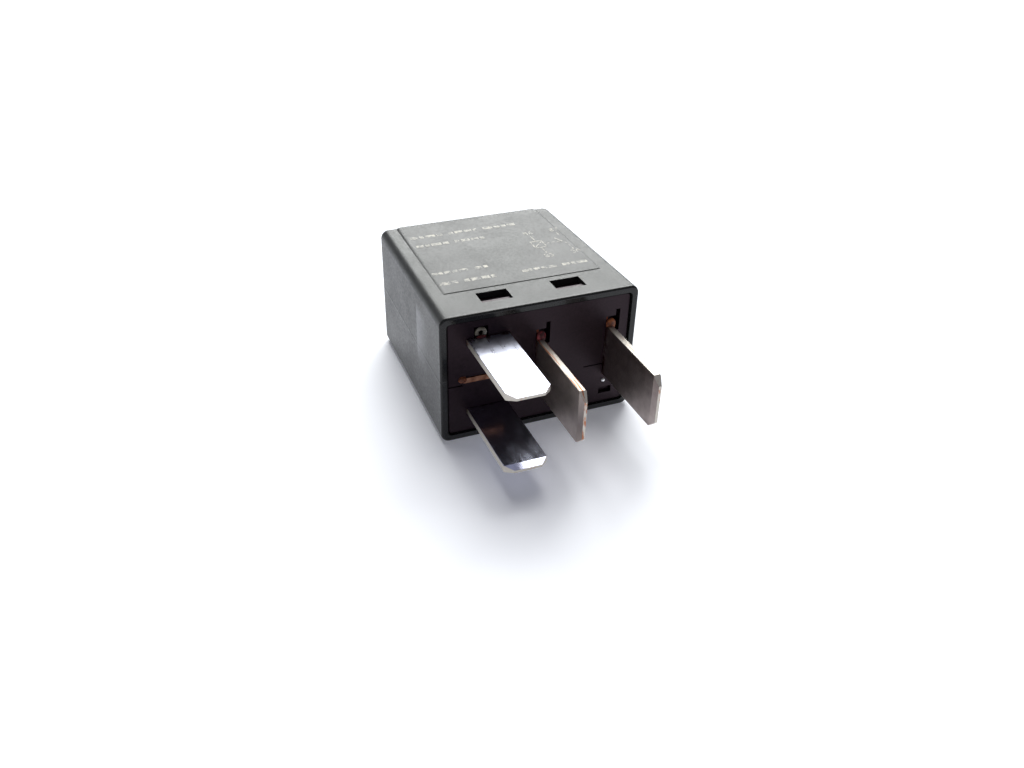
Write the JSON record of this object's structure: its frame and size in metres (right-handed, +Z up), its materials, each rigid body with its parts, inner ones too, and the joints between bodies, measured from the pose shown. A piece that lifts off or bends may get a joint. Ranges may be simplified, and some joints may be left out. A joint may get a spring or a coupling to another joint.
{
  "type": "automotive relay",
  "caption": "Small plug-in relay: a black latched cover over a coil, a rocking armature and a make contact, with flat blades out of its base.",
  "frame": {"origin": "the middle of the whole relay's box in X and Y, on the surface that it lies on", "axes": "+Z up, square to the broad face with the label panel; -Y the way the blades point and the way the relay is pushed into its socket; +X towards the blade of terminal 30"},
  "size_m": [0.023, 0.0354, 0.0155],
  "materials": {
    "cover_plastic": "moulded black glass-filled polyamide, satin, faint pale pad print on its panel",
    "base_plastic": "moulded black glass-filled polyester, satin",
    "bobbin_plastic": "moulded natural polyamide",
    "tinned_blade": "rolled brass strip, bright tin plate, worn through at the roots",
    "bare_copper_strip": "rolled copper alloy strip, unplated",
    "plated_iron": "soft iron, thin zinc plate",
    "steel_rivet": "headed soft steel",
    "enamelled_wire": "enamelled copper wire",
    "spring_bronze": "rolled spring bronze",
    "contact_silver": "silver alloy, dull",
    "resistor_ceramic": "lacquered ceramic rod",
    "tinned_wire": "tinned copper wire",
    "solder": "tin solder"
  },
  "bodies": {
    "relay": {"cover": "cover_plastic", "base": "base_plastic", "terminal_30": "tinned_blade", "terminal_87": "tinned_blade", "terminal_85": "tinned_blade", "terminal_86": "tinned_blade", "stop_strip": "bare_copper_strip", "yoke": "plated_iron", "core": "plated_iron", "bobbin": "bobbin_plastic", "winding": "enamelled_wire", "yoke_rivets": "steel_rivet", "fixed_contact": "contact_silver", "resistor": "resistor_ceramic", "resistor_leads": "tinned_wire", "coil_lead_85": "enamelled_wire", "coil_lead_86": "enamelled_wire", "solder_caps": "solder"},
    "armature": {"armature": "plated_iron", "contact_spring": "spring_bronze", "armature_rivets": "steel_rivet", "moving_contact": "contact_silver"}
  },
  "joints": [
    {"name": "armature_hinge", "type": "hinge", "parent": "relay", "child": "armature", "pos_m": [0.00949, 0.01267, 0.00775], "axis": [0, 0, 1], "range_deg": [0, 2.6], "stiffness_Nm_per_rad": 0.005, "springref_deg": -11.46, "deforming": ["contact_spring"]}
  ]
}
